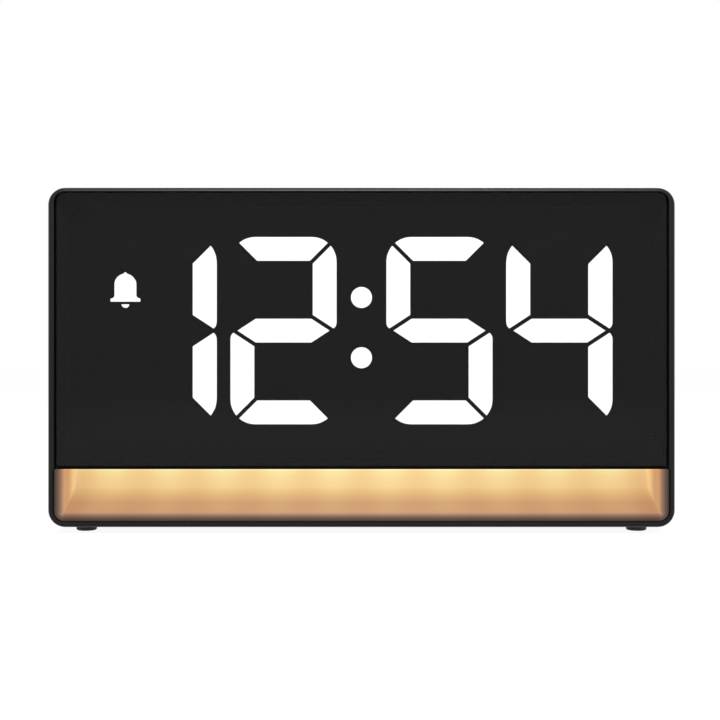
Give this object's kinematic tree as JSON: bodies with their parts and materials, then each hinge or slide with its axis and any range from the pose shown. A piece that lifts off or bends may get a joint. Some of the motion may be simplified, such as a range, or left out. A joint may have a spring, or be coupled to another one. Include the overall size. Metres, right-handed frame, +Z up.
{
  "type": "mood light alarm clock",
  "caption": "Oblong black table clock with a smoked front panel over white glowing digits and a bell sign, a warm light recess along the foot, keys on top and back, and small rubber feet.",
  "frame": {"origin": "on the surface that the feet stand on, under the middle of the clock", "axes": "+X to the right as seen from the front, +Y to the back, +Z up"},
  "size_m": [0.1514, 0.04, 0.0844],
  "materials": {
    "housing": "fine-grained satin black",
    "lens": "smoked, polished, see-through where lit",
    "tape": "black foam tape",
    "reflector": "black moulded block with white cavity walls",
    "lit": "milky resin, glowing white",
    "unlit": "grey resin, dark while unlit",
    "board": "green solder mask",
    "led": "clear white lamp bodies",
    "warm_led": "warm white lamp bodies",
    "opal": "opal, lit warm amber from above",
    "chip": "black moulded package",
    "can": "drawn metal can",
    "capacitor": "shrink sleeve",
    "component": "black moulded plastic",
    "plated": "nickel plated",
    "cell": "stainless steel can",
    "cable": "grey ribbon",
    "plunger": "dark plastic",
    "key": "soft-touch black",
    "door": "fine-grained satin black",
    "rubber": "black rubber",
    "screw": "blackened steel"
  },
  "bodies": {
    "housing": {"front_housing": "housing", "rear_cover": "housing", "display_lens": "lens", "lens_tape": "tape", "segment_frame": "reflector", "lit_segments": "lit", "dark_segments": "unlit", "display_board": "board", "light_board": "board", "main_board": "board", "top_board": "board", "display_leds": "led", "mood_leds": "warm_led", "light_tray": "opal", "display_driver_chip": "chip", "controller_chip": "chip", "quartz_crystal": "can", "capacitors": "capacitor", "buzzer": "component", "dc_socket": "component", "key_switches": "component", "top_switches": "component", "slide_switch": "component", "cable_sockets": "component", "dc_socket_pin": "plated", "cell_contact_negative": "plated", "cell_contact_positive": "plated", "light_link_pins": "plated", "switch_link_pins": "plated", "coin_cell": "cell", "flat_cable": "cable", "foot_front_left": "rubber", "foot_front_right": "rubber", "foot_rear_left": "rubber", "foot_rear_right": "rubber", "case_screws": "screw", "display_screws": "screw", "main_board_screws": "screw", "top_board_screws": "screw", "light_board_screws": "screw"},
    "snooze_bar": {"snooze_bar": "key", "snooze_plungers": "plunger"},
    "mood_light_key": {"mood_light_key": "key", "mood_light_plunger": "plunger"},
    "time_key": {"time_key": "key", "time_plunger": "plunger"},
    "alarm_key": {"alarm_key": "key", "alarm_plunger": "plunger"},
    "minus_key": {"minus_key": "key", "minus_plunger": "plunger"},
    "plus_key": {"plus_key": "key", "plus_plunger": "plunger"},
    "alarm_slider": {"alarm_slider": "key", "slide_switch_lever": "plunger"},
    "battery_door": {"battery_door": "door", "door_screw": "screw"}
  },
  "joints": [
    {"name": "snooze_press", "type": "slide", "parent": "housing", "child": "snooze_bar", "axis": [0, 0, -1], "range_m": [0, 0.0006], "stiffness_N_per_m": 1500, "springref_m": -0.0005},
    {"name": "mood_light_press", "type": "slide", "parent": "housing", "child": "mood_light_key", "axis": [0, 0, -1], "range_m": [0, 0.0006], "stiffness_N_per_m": 1500, "springref_m": -0.0005},
    {"name": "time_press", "type": "slide", "parent": "housing", "child": "time_key", "axis": [0, -1, 0], "range_m": [0, 0.0006], "stiffness_N_per_m": 1500, "springref_m": -0.0005},
    {"name": "alarm_press", "type": "slide", "parent": "housing", "child": "alarm_key", "axis": [0, -1, 0], "range_m": [0, 0.0006], "stiffness_N_per_m": 1500, "springref_m": -0.0005},
    {"name": "minus_press", "type": "slide", "parent": "housing", "child": "minus_key", "axis": [0, -1, 0], "range_m": [0, 0.0006], "stiffness_N_per_m": 1500, "springref_m": -0.0005},
    {"name": "plus_press", "type": "slide", "parent": "housing", "child": "plus_key", "axis": [0, -1, 0], "range_m": [0, 0.0006], "stiffness_N_per_m": 1500, "springref_m": -0.0005},
    {"name": "alarm_switch_slide", "type": "slide", "parent": "housing", "child": "alarm_slider", "axis": [1, 0, 0], "range_m": [0, 0.003]},
    {"name": "battery_door_hinge", "type": "hinge", "parent": "housing", "child": "battery_door", "pos_m": [-0.04, 0.02, 0.01036], "axis": [-1, 0, 0], "range_deg": [0, 60]}
  ]
}
